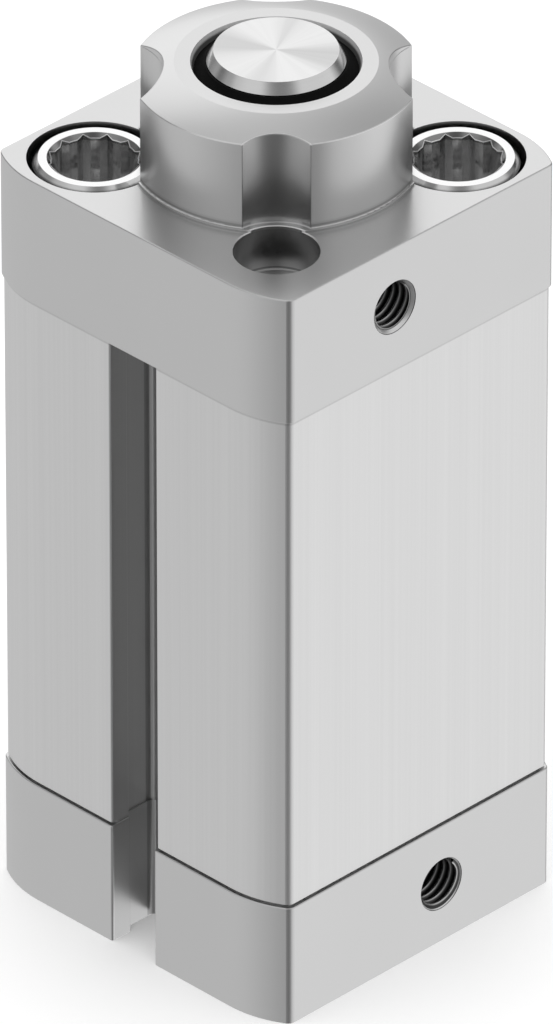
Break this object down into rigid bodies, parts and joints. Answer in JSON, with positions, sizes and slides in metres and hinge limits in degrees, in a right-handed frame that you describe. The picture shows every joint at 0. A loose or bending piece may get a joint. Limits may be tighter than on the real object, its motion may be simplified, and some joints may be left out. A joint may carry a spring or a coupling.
{
  "type": "pneumatic stop cylinder",
  "caption": "Compact pneumatic stop cylinder: square slotted barrel between end caps, notched round collar and a plain stop rod that slides out to halt a carrier.",
  "frame": {"origin": "centre of the end cap's base face, on the rod axis", "axes": "+Z along the rod, out of the bearing cap; -Y out of the supply ports; X across the sensor slots"},
  "size_m": [0.0354, 0.0354, 0.0842],
  "materials": {
    "anodised_barrel": "satin anodised extrusion with fine lengthwise lines",
    "satin_cap": "smooth satin anodised",
    "screw_steel": "bright plated",
    "rod_steel": "turned and polished",
    "seal_rubber": "smooth black",
    "buffer_rubber": "moulded matt",
    "bush_bronze": "sintered bronze",
    "piston_aluminium": "turned",
    "magnet_compound": "moulded",
    "guide_plastic": "moulded"
  },
  "bodies": {
    "housing": {"barrel": "anodised_barrel", "end_cap": "satin_cap", "bearing_cap": "satin_cap", "bearing_cap_screws": "screw_steel", "end_cap_screws": "screw_steel", "lower_guide_bush": "bush_bronze", "upper_guide_bush": "bush_bronze", "wiper_ring": "seal_rubber", "rod_seal": "seal_rubber", "front_buffer": "buffer_rubber", "rear_buffer": "buffer_rubber", "front_barrel_seal": "seal_rubber", "rear_barrel_seal": "seal_rubber"},
    "rod_assembly": {"stop_rod": "rod_steel", "front_piston_half": "piston_aluminium", "rear_piston_half": "piston_aluminium", "magnet_ring": "magnet_compound", "piston_guide_ring": "guide_plastic", "front_piston_seal": "seal_rubber", "rear_piston_seal": "seal_rubber", "spigot_seal": "seal_rubber", "piston_screw": "screw_steel"}
  },
  "joints": [
    {"name": "rod_stroke", "type": "slide", "parent": "housing", "child": "rod_assembly", "axis": [0, 0, 1], "range_m": [0, 0.015]}
  ]
}
